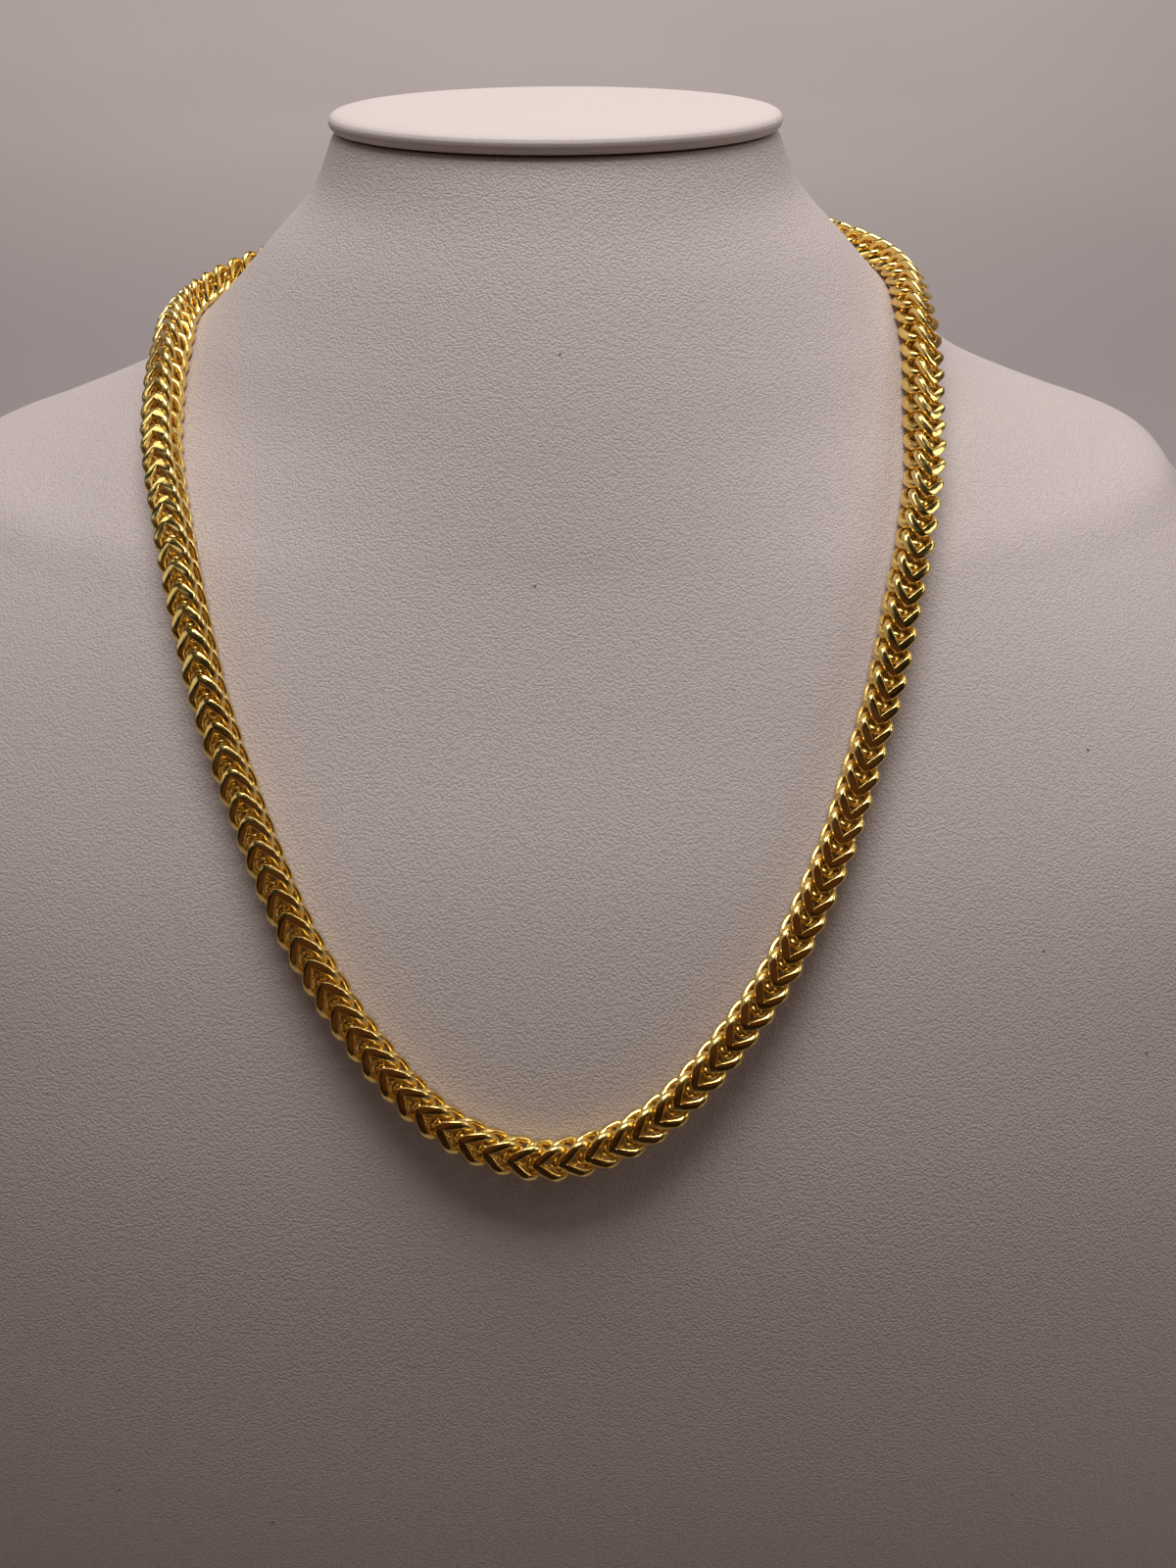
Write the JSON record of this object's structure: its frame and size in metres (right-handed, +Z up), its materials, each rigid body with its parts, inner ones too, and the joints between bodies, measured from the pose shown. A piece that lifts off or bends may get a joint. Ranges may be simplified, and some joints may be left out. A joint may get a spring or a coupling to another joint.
{
  "type": "franco chain on neck bust",
  "caption": "Square-section franco chain of folded V links, fastened round a padded leatherette neck bust that displays it.",
  "frame": {"origin": "middle of the object's box at the level of the base", "axes": "+Z up, the chest and the front of the chain face -Y, +X to the right as seen from the front"},
  "size_m": [0.368, 0.2269, 0.2869],
  "materials": {
    "leatherette": "pale grained leatherette, satin",
    "cap_leatherette": "pale grained leatherette over padding, satin",
    "gold": "polished yellow gold with flat cut faces"
  },
  "bodies": {
    "root": {"bust_form": "leatherette", "neck_cap": "cap_leatherette", "chain_left": "gold", "chain_right": "gold", "clasp": "gold"}
  },
  "joints": []
}
